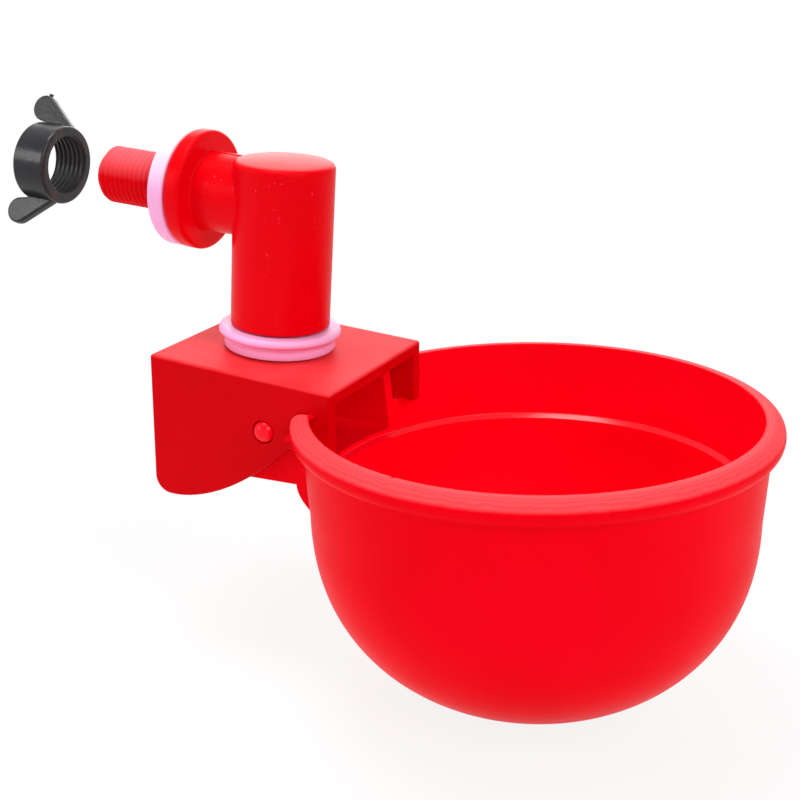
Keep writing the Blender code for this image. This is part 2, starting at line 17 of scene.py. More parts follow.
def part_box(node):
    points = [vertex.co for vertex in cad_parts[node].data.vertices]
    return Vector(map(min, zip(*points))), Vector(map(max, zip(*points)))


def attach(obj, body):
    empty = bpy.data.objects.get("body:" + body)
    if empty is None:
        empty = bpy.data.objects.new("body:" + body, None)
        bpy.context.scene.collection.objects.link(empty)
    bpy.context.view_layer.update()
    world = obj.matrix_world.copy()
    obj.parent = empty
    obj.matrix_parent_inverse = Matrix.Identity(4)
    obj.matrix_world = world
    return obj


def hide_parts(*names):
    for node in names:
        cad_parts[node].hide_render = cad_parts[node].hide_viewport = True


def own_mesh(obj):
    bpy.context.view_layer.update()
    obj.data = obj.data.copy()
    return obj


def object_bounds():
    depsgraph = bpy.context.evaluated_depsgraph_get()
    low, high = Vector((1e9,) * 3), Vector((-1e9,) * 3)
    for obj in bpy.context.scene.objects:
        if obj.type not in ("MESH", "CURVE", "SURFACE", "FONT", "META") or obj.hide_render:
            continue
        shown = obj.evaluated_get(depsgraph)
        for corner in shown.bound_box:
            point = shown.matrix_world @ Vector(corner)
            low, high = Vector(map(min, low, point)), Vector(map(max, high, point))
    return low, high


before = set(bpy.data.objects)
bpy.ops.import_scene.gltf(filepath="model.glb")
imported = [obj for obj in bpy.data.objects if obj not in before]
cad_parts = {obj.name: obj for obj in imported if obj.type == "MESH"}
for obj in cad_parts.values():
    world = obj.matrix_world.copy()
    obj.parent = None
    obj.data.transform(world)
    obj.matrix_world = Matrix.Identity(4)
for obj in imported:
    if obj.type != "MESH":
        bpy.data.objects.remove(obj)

cad_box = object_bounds()
MM = 0.001
print("nodes:", sorted(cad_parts))
print("CAD box in mm:", [[round(c / MM, 2) for c in corner] for corner in cad_box])

# %% [markdown]
# ## The camera
# A product photo is taken from a little above and from one side. The camera could be placed
# by eye, but its place, its turn and its lens were worked out from a dozen points whose
# positions are known in the model, so that the drawing of the model falls on the picture.
# A camera's matrix has its right, its up and its backward direction as columns.

# %% Camera
CAMERA_PLACE = (0.13573, -0.19790, 0.05343)
LENS = 63.0
SENSOR_WIDTH = 36.0
camera_data = bpy.data.cameras.new("camera")
camera_data.sensor_width = SENSOR_WIDTH
camera_data.lens = LENS
camera_data.clip_start = 0.01
camera = bpy.data.objects.new("camera", camera_data)
bpy.context.scene.collection.objects.link(camera)
right = Vector((0.89636, 0.43972, 0.05639))
up = Vector((-0.20470, 0.29770, 0.93246))
back = Vector((0.39324, -0.84736, 0.35685))
turn = Matrix((right, up, back)).transposed().to_4x4()
camera.matrix_world = Matrix.Translation(CAMERA_PLACE) @ turn
bpy.context.scene.camera = camera
print("camera at", [round(c, 3) for c in camera.matrix_world.translation])

# %% [markdown]
# ## Floor and light
# The photo has a plain white ground and a soft light, mostly from above and from the front
# right. The ground could be left out, but then no shadow would hold the object down. So the
# floor is a big plane just under the bowl.

# %% Floor
FLOOR_GAP = 0.6 * MM
FLOOR_SIZE = 12.0
floor_height = cad_box[0][2] - FLOOR_GAP
bpy.ops.object.select_all(action="DESELECT")
bpy.ops.mesh.primitive_plane_add(size=FLOOR_SIZE, location=(0.0, 0.0, floor_height))
floor = bpy.context.object
floor.name = "floor"
bpy.ops.object.transform_apply(location=True, rotation=True, scale=True)
print("floor at", round(floor_height / MM, 2), "mm")

# %% [markdown]
# A shader is a net of nodes, and the paper, the world and the finishes all need the same few
# steps in it. They could be wired anew each time, but three helpers are shorter to read: one
# finds the rays that come from the camera or from a reflection, one maps a value from one
# range to another, and one multiplies two numbers.

# %% Helpers for numbers in shaders
def seen_directly(nodes, links):
    """1 for rays from the camera and from reflections, and 0 for all others."""
    light_path = nodes.new("ShaderNodeLightPath")
    either = nodes.new("ShaderNodeMath")
    either.operation = "MAXIMUM"
    links.new(light_path.outputs["Is Camera Ray"], either.inputs[0])
    links.new(light_path.outputs["Is Glossy Ray"], either.inputs[1])
    return either.outputs[0]


def spread(nodes, links, value, low, high, from_low=0.3, from_high=0.7):
    """Maps a value from one range to another. The usual range is that of a noise."""
    made = nodes.new("ShaderNodeMapRange")
    made.inputs["From Min"].default_value = from_low
    made.inputs["From Max"].default_value = from_high
    made.inputs["To Min"].default_value = low
    made.inputs["To Max"].default_value = high
    links.new(value, made.inputs["Value"])
    return made.outputs["Result"]


def times(nodes, links, first, second):
    """Two numbers multiplied."""
    made = nodes.new("ShaderNodeMath")
    made.operation = "MULTIPLY"
    links.new(first, made.inputs[0])
    links.new(second, made.inputs[1])
    return made.outputs[0]


# %% [markdown]
# Brighter lamps would make the ground white, but they would bleach the red as well. So the
# paper is pale under the lamps, and rays from the camera and from reflections see most of
# it as plain white, more so far away. The ground stays white and a soft shadow stays on it.

# %% White paper
PAPER_TONE = (0.86, 0.86, 0.86, 1.0)
WHITE_NEAR = 0.86
FADE_START = 0.15
FADE_END = 0.55
paper = bpy.data.materials.new("white_paper")
paper.use_nodes = True
nodes, links = paper.node_tree.nodes, paper.node_tree.links
shader = nodes["Principled BSDF"]
shader.inputs["Base Color"].default_value = PAPER_TONE
shader.inputs["Roughness"].default_value = 0.9
shader.inputs["Specular IOR Level"].default_value = 0.1
coordinates = nodes.new("ShaderNodeTexCoord")
distance = nodes.new("ShaderNodeVectorMath")
distance.operation = "LENGTH"
links.new(coordinates.outputs["Object"], distance.inputs[0])
whiteness = spread(nodes, links, distance.outputs["Value"], WHITE_NEAR, 1.0, FADE_START, FADE_END)
glow = nodes.new("ShaderNodeEmission")
mix = nodes.new("ShaderNodeMixShader")
links.new(times(nodes, links, seen_directly(nodes, links), whiteness), mix.inputs["Fac"])
links.new(shader.outputs["BSDF"], mix.inputs[1])
links.new(glow.outputs["Emission"], mix.inputs[2])
links.new(mix.outputs["Shader"], nodes["Material Output"].inputs["Surface"])
floor.data.materials.append(paper)
print(paper.name, "is plain white from", FADE_END, "m on")

# %% [markdown]
# The world does the same for the space behind. Four lamps light the object: one above, one
# at the front right, a weak one on the left, and one behind, which puts a sheen on every
# surface that faces up. They are wide squares, because a small lamp draws a hard shadow.

# %% World and lamps
WORLD_LIGHT = 0.40
AIM = (0.035, 0.0, -0.030)
world = bpy.data.worlds.new("soft_studio")
bpy.context.scene.world = world
world.use_nodes = True
nodes, links = world.node_tree.nodes, world.node_tree.links
background = nodes["Background"]
background.inputs["Color"].default_value = (1.0, 1.0, 1.0, 1.0)
strength = spread(nodes, links, seen_directly(nodes, links), WORLD_LIGHT, 1.0, 0.0, 1.0)
links.new(strength, background.inputs["Strength"])


def lamp(name, place, size, power):
    """A square soft lamp, its side in metres and its power in watts."""
    data = bpy.data.lights.new(name, "AREA")
    data.size = size
    data.energy = power
    made = bpy.data.objects.new(name, data)
    made.location = place
    made.rotation_euler = (Vector(AIM) - Vector(place)).to_track_quat("-Z", "Y").to_euler()
    bpy.context.scene.collection.objects.link(made)


lamp("overhead", (-0.12, -0.03, 0.70), 0.24, 3.0)
lamp("front_right", (0.64, -0.38, 0.52), 0.50, 3.4)
lamp("left", (-0.50, -0.48, 0.22), 0.25, 1.2)
lamp("behind", (-0.30, 0.75, 0.32), 0.70, 4.0)
bpy.context.scene.view_settings.view_transform = "Standard"

# %% [markdown]
# ## Tools for shaping
# The pieces are shaped with the operators that Blender's menus use. They could be built from
# lists of points instead, but then nobody could follow the steps by hand. An operator acts
# on all that is selected, and the CAD nodes are selected when they are loaded, so two
# helpers see to it that only the right piece is.

# %% Selecting
def start_clean():
    """Object mode with nothing selected."""
    if bpy.context.object and bpy.context.object.mode != "OBJECT":
        bpy.ops.object.mode_set(mode="OBJECT")
    bpy.ops.object.select_all(action="DESELECT")


def pick(piece):
    """Only this piece selected and active."""
    start_clean()
    piece.select_set(True)
    bpy.context.view_layer.objects.active = piece


# %% [markdown]
# Round pieces could be built from stacked cylinders, but a lathe is closer to how their
# mould is made: half of the outline is drawn once and spun about the axis. Here a plane is
# merged to a single vertex, the vertex is extruded along the outline, and Spin turns it.

# %% Drawing and turning
WELD_DISTANCE = 0.001 * MM


def draw_chain(name, points):
    """A chain of vertices through (x, z) points, left in edit mode with its last one selected."""
    start_clean()
    bpy.ops.mesh.primitive_plane_add(size=1 * MM, location=(0.0, 0.0, 0.0))
    piece = bpy.context.object
    piece.name = name
    piece.data.name = name
    bpy.ops.object.mode_set(mode="EDIT")
    bpy.ops.mesh.select_all(action="SELECT")
    bpy.ops.mesh.merge(type="CENTER")
    bpy.ops.transform.translate(value=(points[0][0], 0.0, points[0][1]))
    for (x0, z0), (x1, z1) in zip(points, points[1:]):
        step = (x1 - x0, 0.0, z1 - z0)
        bpy.ops.mesh.extrude_region_move(TRANSFORM_OT_translate={"value": step})
    return piece


def weld():
    """In edit mode: joins points that coincide and turns all faces outwards."""
    bpy.ops.mesh.select_all(action="SELECT")
    bpy.ops.mesh.remove_doubles(threshold=WELD_DISTANCE)
    bpy.ops.mesh.normals_make_consistent(inside=False)
    bpy.ops.object.mode_set(mode="OBJECT")


def lathe(name, outline, steps=128):
    """Spins an outline of (radius, height) about the Z axis."""
    piece = draw_chain(name, outline)
    bpy.ops.mesh.select_all(action="SELECT")
    bpy.ops.mesh.spin(
        steps=steps, angle=2 * math.pi, center=(0.0, 0.0, 0.0), axis=(0.0, 0.0, 1.0),
    )
    weld()
    return piece


def in_mm(points):
    """Turns points given in millimetres to metres."""
    return [(x * MM, z * MM) for x, z in points]


def arc(cx, cz, radius, start, end, steps):
    """Points on an arc about (cx, cz), angles in degrees."""
    angles = [math.radians(start + (end - start) * i / steps) for i in range(steps + 1)]
    return [(cx + radius * math.cos(a), cz + radius * math.sin(a)) for a in angles]


# %% [markdown]
# Flat pieces, such as a side plate, are the same chain closed to a face and extruded to its
# thickness. A Bevel modifier then rounds the edges, as no moulded edge is really sharp.
# Where two shapes meet or a hole goes through, a Boolean modifier joins or cuts them, and
# each modifier is applied at once, so that the finished piece is a plain mesh.

# %% Modifiers and Booleans
def apply_modifier(piece, kind, **settings):
    """Adds a modifier and applies it."""
    step = piece.modifiers.new(kind.lower(), kind)
    for key, value in settings.items():
        setattr(step, key, value)
    pick(piece)
    bpy.ops.object.modifier_apply(modifier=step.name)


def soften(piece, width, segments=3, angle=40.0):
    """Rounds every edge that is sharper than an angle."""
    apply_modifier(
        piece, "BEVEL", width=width, segments=segments, limit_method="ANGLE",
        angle_limit=math.radians(angle), use_clamp_overlap=True,
    )


def combine(piece, tool, operation):
    """Applies a Boolean, uses up the tool, and welds the seam for the next one."""
    apply_modifier(piece, "BOOLEAN", operation=operation, object=tool, solver="EXACT")
    bpy.data.objects.remove(tool, do_unlink=True)
    bpy.ops.object.mode_set(mode="EDIT")
    weld()


def cut(piece, tool):
    """Takes the tool's shape out of the piece."""
    combine(piece, tool, "DIFFERENCE")


def join(piece, tool):
    """Makes piece and tool one body."""
    combine(piece, tool, "UNION")


# %% [markdown]
# A slab is drawn in X and Z and grows along Y, a block is a scaled cube, and a rod is a
# turned bar for holes and pegs. Each is drawn where it is easy and then moved and turned.
# The move is put into the mesh, so a finished piece has its origin at the frame's origin.

# %% Slabs, blocks and rods
def settle(piece, place=(0.0, 0.0, 0.0), turn=(0.0, 0.0, 0.0)):
    """Moves and turns the piece, and puts that into its mesh."""
    pick(piece)
    piece.location = place
    piece.rotation_euler = [math.radians(a) for a in turn]
    bpy.ops.object.transform_apply(location=True, rotation=True, scale=True)
    return piece


def draw_loop(name, outline):
    """A closed chain through (x, z) points, left in edit mode with all of it selected."""
    piece = draw_chain(name, outline + outline[:1])
    bpy.ops.mesh.select_all(action="SELECT")
    bpy.ops.mesh.remove_doubles(threshold=WELD_DISTANCE)
    return piece


def slab(name, outline, low_y, high_y):
    """Closes an (x, z) outline to a face and makes it thick along Y."""
    piece = draw_loop(name, outline)
    bpy.ops.mesh.edge_face_add()
    bpy.ops.transform.translate(value=(0.0, low_y, 0.0))
    bpy.ops.mesh.extrude_region_move(
        TRANSFORM_OT_translate={"value": (0.0, high_y - low_y, 0.0)},
    )
    weld()
    return piece


def block(name, low, high, round_edges=0.0):
    """A box between two corners, with rounded edges if asked."""
    low, high = Vector(low), Vector(high)
    start_clean()
    bpy.ops.mesh.primitive_cube_add(size=1.0, location=(low + high) / 2, scale=high - low)
    piece = bpy.context.object
    piece.name = name
    bpy.ops.object.transform_apply(location=True, rotation=True, scale=True)
    if round_edges > 0:
        soften(piece, round_edges, 4)
    return piece


def rod(name, radius, low, high, steps=64, place=(0.0, 0.0, 0.0), turn=(0.0, 0.0, 0.0)):
    """A plain round bar along Z, for holes and pegs."""
    piece = lathe(name, [(0.0, high), (radius, high), (radius, low), (0.0, low)], steps)
    return settle(piece, place, turn)


# %% [markdown]
# Every finished piece gets smooth shading with its sharp edges kept. It rides on the body
# that carries it and stands for its CAD node, which is hidden. The printed line tells how
# far it goes past that node's box.

# %% Finishing a piece
def finish_piece(piece, body, node, angle=32.0):
    """Smooth shading, and the piece's place in the frame."""
    pick(piece)
    bpy.ops.object.shade_smooth_by_angle(angle=math.radians(angle))
    apply_modifier(piece, "WEIGHTED_NORMAL", keep_sharp=True, weight=60)
    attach(piece, body)
    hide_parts(node)
    low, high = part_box(node)
    past = 0.0
    for vertex in piece.data.vertices:
        for c, least, most in zip(vertex.co, low, high):
            past = max(past, least - c, c - most)
    piece.data.calc_loop_triangles()
    count = len(piece.data.loop_triangles)
    print(piece.name, "has", count, "triangles and goes", round(past / MM, 2), "mm past its node")


# %% [markdown]
# ## The frame's main places
# The origin is on the stud's axis at the wall. The barrel stands 20.5 mm in front of the
# wall, and the cup turns on two round bosses below and ahead of it. The empty cup is held
# up 5 degrees by the valve's spring, so it is modelled level about its pivot and tipped last.
# The three widths are measured from the middle to a side.

# %% Main places
AXIS_X = 20.5 * MM
BRACKET_TOP = -24.9 * MM
PIVOT = (27.5 * MM, 0.0, -33.8 * MM)
TILT = -5.0
BRACKET_HALF = 16.7 * MM
INNER_HALF = 14.4 * MM
EAR_HALF = 14.1 * MM
print("pivot in mm:", [round(c / MM, 2) for c in PIVOT])

# %% [markdown]
# ## Bowl
# The bowl and the trough that feeds it are one moulding. The bowl could be a squashed
# sphere, but its side is nearly straight for a third of its depth and then rounds off, which
# an ellipse with a slightly higher exponent follows well. Round its mouth runs a rolled bead,
# and 13 mm down on the inside a narrow slope catches the light as a bright crescent.
# The solid outside is spun first, and the hollow is spun as a tool that is taken out later.

# %% Bowl
RIM_R = 39.0 * MM
RIM_INNER_R = 35.8 * MM
LIP_R = 36.1 * MM
LIP_ROUND = 0.3 * MM
BEAD_R = 2.2 * MM
BOWL_AXIS = (40.5 * MM, 0.0, 4.2 * MM)
BOWL_STEPS = 192
BOWL_POWER = 2.25
CURVE_STEPS = 40


def bowl_curve(radius, top, bottom):
    """The rounded lower part of the bowl, as (radius, height) from its waist to its middle."""
    points = []
    for i in range(1, CURVE_STEPS):
        t = math.pi / 2 * i / CURVE_STEPS
        across = radius * math.cos(t) ** (2 / BOWL_POWER)
        points.append((across, top + (bottom - top) * math.sin(t) ** (2 / BOWL_POWER)))
    return points + [(0.0, bottom)]


outside = [(0.0, 0.0)]
outside += arc(RIM_R - BEAD_R, -BEAD_R, BEAD_R, 90.0, -75.0, 16)
outside += in_mm([(37.2, -4.45), (37.07, -4.8), (36.3, -16.3)])
outside += bowl_curve(36.3 * MM, -16.3 * MM, -49.4 * MM)
bowl = settle(lathe("bowl", outside, BOWL_STEPS), BOWL_AXIS)

inside = [(0.0, 2 * MM), (LIP_R, 2 * MM), (LIP_R, 0.0)]
inside += arc(LIP_R, -LIP_ROUND, LIP_ROUND, 100.0, 170.0, 4)
inside += in_mm([(35.75, -1.0), (34.7, -12.8), (34.6, -13.0), (33.75, -13.61)])
inside += bowl_curve(33.7 * MM, -13.8 * MM, -47.9 * MM)
bowl_hollow = settle(lathe("hollow", inside, BOWL_STEPS), BOWL_AXIS)
print("bowl", [round(c / MM, 1) for c in bowl.dimensions])

# %% [markdown]
# ## Trough and ears
# Behind the bowl a short trough reaches back under the valve. Its two side walls rise as
# ears that carry the pivot bosses. Seen from the side they are one outline, so it is drawn
# once, extruded to the full width, and hollowed. The web under the trough sweeps into the
# bowl's wall, and its curve is a power of the depth.

# %% Trough
FLOOR = -8.0 * MM
UNDER = -9.5 * MM
TROUGH_BACK = -14.5 * MM
WALL_MIDDLE = 6.93 * MM
EAR_TOP = 3.0 * MM
WEB_FOOT = -13.8 * MM
WEB_START = 4.2 * MM
WEB_REACH = 2.4 * MM
WEB_POWER = 1.9
WEB_STEPS = 8
trough_side = [(TROUGH_BACK, -4.5 * MM), (TROUGH_BACK, FLOOR), (-13.0 * MM, UNDER)]
for i in range(WEB_STEPS + 1):
    t = i / WEB_STEPS
    trough_side.append((WEB_START + WEB_REACH * t ** WEB_POWER, UNDER + (WEB_FOOT - UNDER) * t))
trough_side += [(WALL_MIDDLE, WEB_FOOT), (WALL_MIDDLE, EAR_TOP)]
trough_side += [(-1.85 * MM, EAR_TOP), (-5.35 * MM, 1.8 * MM)]
cup = slab("cup_moulding", trough_side, -EAR_HALF, EAR_HALF)
soften(cup, 0.45 * MM, 3)
join(cup, bowl)
cut(cup, bowl_hollow)
print("cup so far:", len(cup.data.vertices), "points")

# %% [markdown]
# The channel of the trough has rounded corners, so its tool is a block with bevelled edges.
# Two slots in the rim let the bracket's side plates reach down beside the ears, a little
# deeper than the plates when the cup is level. A flat cut takes the rim away between them,
# and everything is open from above, as the steel pins of the mould were.

# %% Trough channel, rim gap and slots
CHANNEL_HALF = 12.6 * MM
SLOT_HALF = 17.0 * MM
SLOT_FRONT = 23.5 * MM
SLOT_PLAY = 0.12 * MM
NOSE_BELOW_PIVOT = 1.9 * MM
OVER = 6.2 * MM
channel_low = (-13.0 * MM, -CHANNEL_HALF, FLOOR)
cut(cup, block("channel", channel_low, (27.9 * MM, CHANNEL_HALF, 20 * MM), 0.7 * MM))
cut(cup, block("rim_gap", (-17 * MM, -SLOT_HALF, EAR_TOP), (SLOT_FRONT, SLOT_HALF, OVER)))
reach = BOWL_AXIS[0] - math.sqrt(RIM_INNER_R ** 2 - SLOT_HALF ** 2)
slope = math.radians(-TILT)
slot_floor = -(NOSE_BELOW_PIVOT * math.cos(slope) + reach * math.sin(slope)) - SLOT_PLAY
for side in (-1, 1):
    low_y, high_y = sorted((side * EAR_HALF, side * SLOT_HALF))
    cut(cup, block("plate_slot", (0.0, low_y, slot_floor), (SLOT_FRONT, high_y, OVER)))
print("slot floor", round(slot_floor / MM, 2), "mm from the pivot")

# %% [markdown]
# ## Pivot bosses and the valve's pad
# Each ear carries a boss with a domed end that snaps into the bracket's hole. A dome could
# be half a sphere, but a flatter one is drawn here as a quarter of an ellipse and spun. The
# little round pad on the trough's floor is what pushes the valve's stem.

# %% Bosses and pad
BOSS_R = 1.85 * MM
BOSS_TIP = 17.7 * MM
BOSS_ROOT = 13.4 * MM
DOME_RISE = 1.5 * MM
DOME_STEPS = 12
dome = [(0.0, BOSS_TIP)]
for i in range(1, DOME_STEPS + 1):
    t = math.pi / 2 * i / DOME_STEPS
    dome.append((BOSS_R * math.sin(t), BOSS_TIP - DOME_RISE * (1 - math.cos(t))))
dome += [(BOSS_R, BOSS_ROOT), (0.0, BOSS_ROOT)]
for side in (-1, 1):
    join(cup, settle(lathe("boss", dome, 48), turn=(-90.0 * side, 0.0, 0.0)))

PAD_R = 2.6 * MM
PAD_X = -7.0 * MM
pad_root = FLOOR - 0.75 * MM
pad_outline = [(0.0, FLOOR + 1.2 * MM)]
pad_outline += arc(2.3 * MM, FLOOR + 0.9 * MM, 0.3 * MM, 90.0, 0.0, 4)
pad_outline += [(PAD_R, pad_root), (0.0, pad_root)]
join(cup, settle(lathe("pad", pad_outline, 48), (PAD_X, 0.0, 0.0)))
print("cup with bosses:", len(cup.data.vertices), "points")

# %% [markdown]
# A used, cheap moulding isn't perfect. A little torn flash is left where the bead ends at
# the near slot, and the bead has a few nicks. The flash is two thin slabs, and each nick is
# the bite of a small rod that only just reaches the surface. A nick is told by its angle
# round the bowl, its distance from the axis and its depth below the rim in millimetres, and
# whether its rod lies flat. Then the cup is tipped.

# %% Flash and nicks
NICK_R = 0.6 * MM
flake = [(5.9, 1.3), (5.2, 0.6), (4.4, -0.2), (4.7, -0.8), (5.6, -0.5), (6.8, -0.1), (6.8, 1.3)]
burr = [(8.3, 3.8), (8.4, 4.2), (9.6, 4.45), (10.0, 4.15), (9.8, 3.8)]
join(cup, slab("flash", in_mm(flake), -17.6 * MM, -17.2 * MM))
join(cup, slab("burr", in_mm(burr), -17.5 * MM, -17.1 * MM))
nicks = [(-102.1, 36.2, -0.42, True), (-88.0, 39.42, 1.7, False), (-53.5, 39.44, 1.6, False)]
for around, distance, drop, lies_flat in nicks:
    spot = math.radians(around)
    outward = Vector((math.cos(spot), math.sin(spot), 0.0))
    middle = Vector(BOWL_AXIS) + outward * distance * MM
    middle.z -= drop * MM
    lean = 90.0 if lies_flat else 0.0
    cut(cup, rod("nick", NICK_R, -NICK_R, NICK_R, 24, middle, (0.0, lean, around)))
settle(cup, PIVOT, (0.0, TILT, 0.0))
finish_piece(cup, "cup", "cup")

# %% [markdown]
# ## Bracket
# An inverted U of 2.3 mm plate. It could be bent from a plane with Solidify, but its side
# outline with the swept lower edge is what the eye sees, so the outline is drawn, extruded
# to the full width, and hollowed with a block. A bevel rounds all its edges before the holes
# for the valve's bush and for the pivots are drilled.

# %% Bracket
PLATE = 2.3 * MM
HEEL_R = 3.0 * MM
BUSH_HOLE_R = 5.9 * MM
PIVOT_HOLE_R = 2.0 * MM
SWEEP_POWER = 1.8
SWEEP_STEPS = 28
back_x = AXIS_X - 15.25 * MM
front_x = AXIS_X + 19.6 * MM
heel = BRACKET_TOP - 24.5 * MM
nose = BRACKET_TOP - 10.8 * MM
corner_x = back_x + 4.0 * MM
bracket_side = [(back_x, BRACKET_TOP)] + arc(corner_x, heel + HEEL_R, HEEL_R, 184.0, 268.0, 12)
sweep = front_x - 7.8 * MM - corner_x
for i in range(1, SWEEP_STEPS + 1):
    t = i / SWEEP_STEPS
    bracket_side.append((corner_x + sweep * t, heel + (nose - heel) * t ** SWEEP_POWER))
bracket_side += [(front_x, nose), (front_x - 0.7 * MM, BRACKET_TOP)]
bracket = slab("bracket_moulding", bracket_side, -BRACKET_HALF, BRACKET_HALF)
hollow_high = (50 * MM, INNER_HALF, BRACKET_TOP - PLATE)
cut(bracket, block("bracket_hollow", (0.0, -INNER_HALF, -60 * MM), hollow_high))
soften(bracket, 0.5 * MM, 3, 30.0)
cut(bracket, rod("bush_hole", BUSH_HOLE_R, -30 * MM, -20 * MM, 96, (AXIS_X, 0.0, 0.0)))
cut(bracket, rod("pivot_hole", PIVOT_HOLE_R, -20 * MM, 20 * MM, 48, PIVOT, (90.0, 0.0, 0.0)))
finish_piece(bracket, "inlet", "bracket")

# %% [markdown]
# ## A threaded rod
# A screw thread could be a bump map, but its outline shows along the stud. One tooth is drawn
# in section, and the Screw modifier winds it up the axis, 1 mm a turn. The ends of the winding
# are closed with faces, and it is joined to a core. The same rod, a little larger, later taps
# the wing nut.

# %% Threaded rod
PITCH = 1.0 * MM
TOOTH_ROOT = 0.43 * PITCH
TOOTH_TIP = 0.08 * PITCH
TOOTH_SINK = 0.15 * MM
THREAD_STEPS = 48


def threaded_rod(name, core, crest, length):
    """A core from height 0 up to a length, with a thread wound round it."""
    root = core - TOOTH_SINK
    tooth = [(root, TOOTH_ROOT), (crest, TOOTH_TIP), (crest, -TOOTH_TIP), (root, -TOOTH_ROOT)]
    piece = draw_loop(name, tooth)
    bpy.ops.object.mode_set(mode="OBJECT")
    apply_modifier(
        piece, "SCREW", axis="Z", screw_offset=PITCH, iterations=round(length / PITCH),
        steps=THREAD_STEPS, render_steps=THREAD_STEPS, use_merge_vertices=False,
        use_smooth_shade=False,
    )
    bpy.ops.object.mode_set(mode="EDIT")
    bpy.ops.mesh.select_mode(type="EDGE")
    bpy.ops.mesh.select_all(action="DESELECT")
    bpy.ops.mesh.select_non_manifold()
    bpy.ops.mesh.edge_face_add()
    bpy.ops.mesh.select_mode(type="VERT")
    weld()
    join(piece, rod("core", core, -0.6 * PITCH, length + 0.6 * PITCH, THREAD_STEPS))
    return piece


# %% [markdown]
# ## Elbow
# Stud, flange and neck lie on one axis and the barrel stands on another, so two turned
# pieces are joined. The thread is trimmed with a turned envelope that gives the stud its
# chamfered end.

# %% Stud and flange
STUD_END = -14.6 * MM
STUD_R = 4.9 * MM
STUD_CORE = 4.52 * MM
STUD_CHAMFER = 1.2 * MM
LYING_DOWN = (0.0, 90.0, 0.0)
stud = threaded_rod("stud", STUD_CORE, STUD_R, 19 * MM)
settle(stud, (STUD_END - 0.3 * MM, 0.0, 0.0), LYING_DOWN)
trim_r = STUD_R - 0.01 * MM
trim = [(0.0, 4.0 * MM), (trim_r, 4.0 * MM), (trim_r, STUD_END + STUD_CHAMFER)]
trim += [(STUD_R - STUD_CHAMFER, STUD_END), (0.0, STUD_END)]
envelope = settle(lathe("envelope", trim, 96), turn=LYING_DOWN)
combine(stud, envelope, "INTERSECT")

FLANGE_R = 10.1 * MM
FLANGE_BACK = 3.3 * MM
FLANGE_FACE = 6.2 * MM
NECK_R = 6.7 * MM
FILLET = 0.35 * MM
lying = [(0.0, AXIS_X), (NECK_R, AXIS_X), (NECK_R, FLANGE_FACE + FILLET)]
lying += arc(NECK_R + FILLET, FLANGE_FACE + FILLET, FILLET, 180.0, 270.0, 4)[1:]
lying += arc(FLANGE_R - 0.6 * MM, FLANGE_FACE - 0.6 * MM, 0.6 * MM, 90.0, 0.0, 6)
lying += arc(FLANGE_R - 0.5 * MM, FLANGE_BACK + 0.5 * MM, 0.5 * MM, 0.0, -90.0, 6)
lying += [(0.0, FLANGE_BACK)]
elbow = settle(lathe("elbow_moulding", lying, 128), turn=LYING_DOWN)
join(elbow, stud)
print("elbow, lying part:", [round(c / MM, 2) for c in elbow.dimensions])

# %% [markdown]
# The barrel is turned with a slightly domed end. It could stay solid, but the water has to
# run through: a chamber for the valve is cut from below, with a small nozzle standing in
# its roof, and a straight bore runs in from the stud. A fine parting line of the mould
# lies along the neck's top.

# %% Barrel, waterway and valve chamber
BARREL_R = 8.45 * MM
BARREL_TOP = 7.4 * MM
BARREL_EDGE = 0.9 * MM
FOOT = -20.7 * MM
FOOT_EDGE = 0.3 * MM
DOME_EDGE = 6.1 * MM
DOME_DROP = 1.3 * MM * 0.35
WATERWAY_R = 2.5 * MM
barrel = [(0.0, BARREL_TOP)]
for i in range(1, 8):
    t = i / 8
    barrel.append((7.85 * MM * t, BARREL_TOP - DOME_DROP * t ** 2))
barrel += arc(BARREL_R - BARREL_EDGE, DOME_EDGE - 0.05 * MM, BARREL_EDGE, 75.0, 0.0, 7)
barrel += arc(BARREL_R - FOOT_EDGE, FOOT + FOOT_EDGE, FOOT_EDGE, 0.0, -90.0, 4)
barrel += [(0.0, FOOT)]
join(elbow, settle(lathe("barrel", barrel, 128), (AXIS_X, 0.0, 0.0)))
chamber = in_mm([(0.0, 1.25), (1.5, 1.25), (1.5, -6.8), (2.4, -6.8), (2.4, -6.0)])
chamber += in_mm([(5.9, -6.0), (5.9, -24.0), (0.0, -24.0)])
cut(elbow, settle(lathe("chamber", chamber, 64), (AXIS_X, 0.0, 0.0)))
cut(elbow, rod("waterway", WATERWAY_R, -17 * MM, 23 * MM, turn=LYING_DOWN))
line_low = (6.0 * MM, -0.28 * MM, 6.4 * MM)
line_high = (14.0 * MM, 0.28 * MM, 6.84 * MM)
join(elbow, block("parting_line", line_low, line_high, 0.09 * MM))
finish_piece(elbow, "inlet", "elbow")

# %% [markdown]
# ## Gaskets
# A flat washer seals the wall and a lipped collar seats the barrel on the bracket. Both are
# rings, so their section is a closed loop that never touches the axis. Rubber has no crisp
# edge, and so the corners of the washer's section are arcs.

# %% Wall washer
washer = arc(9.5 * MM, 2.5 * MM, 0.5 * MM, 90.0, 0.0, 5)
washer += arc(9.5 * MM, 0.5 * MM, 0.5 * MM, 0.0, -90.0, 5)
washer += arc(5.45 * MM, 0.25 * MM, 0.25 * MM, 270.0, 180.0, 3)
washer += arc(5.45 * MM, 2.75 * MM, 0.25 * MM, 180.0, 90.0, 3)
stud_gasket = lathe("wall_washer", washer + washer[:1], 128)
settle(stud_gasket, turn=LYING_DOWN)
finish_piece(stud_gasket, "inlet", "stud_gasket", 60.0)

# %% [markdown]
# The collar has a rounded lip, a groove below it and a foot that spreads on the bracket. It
# could be two rings on top of each other, but it is one moulding, so it is one outline.

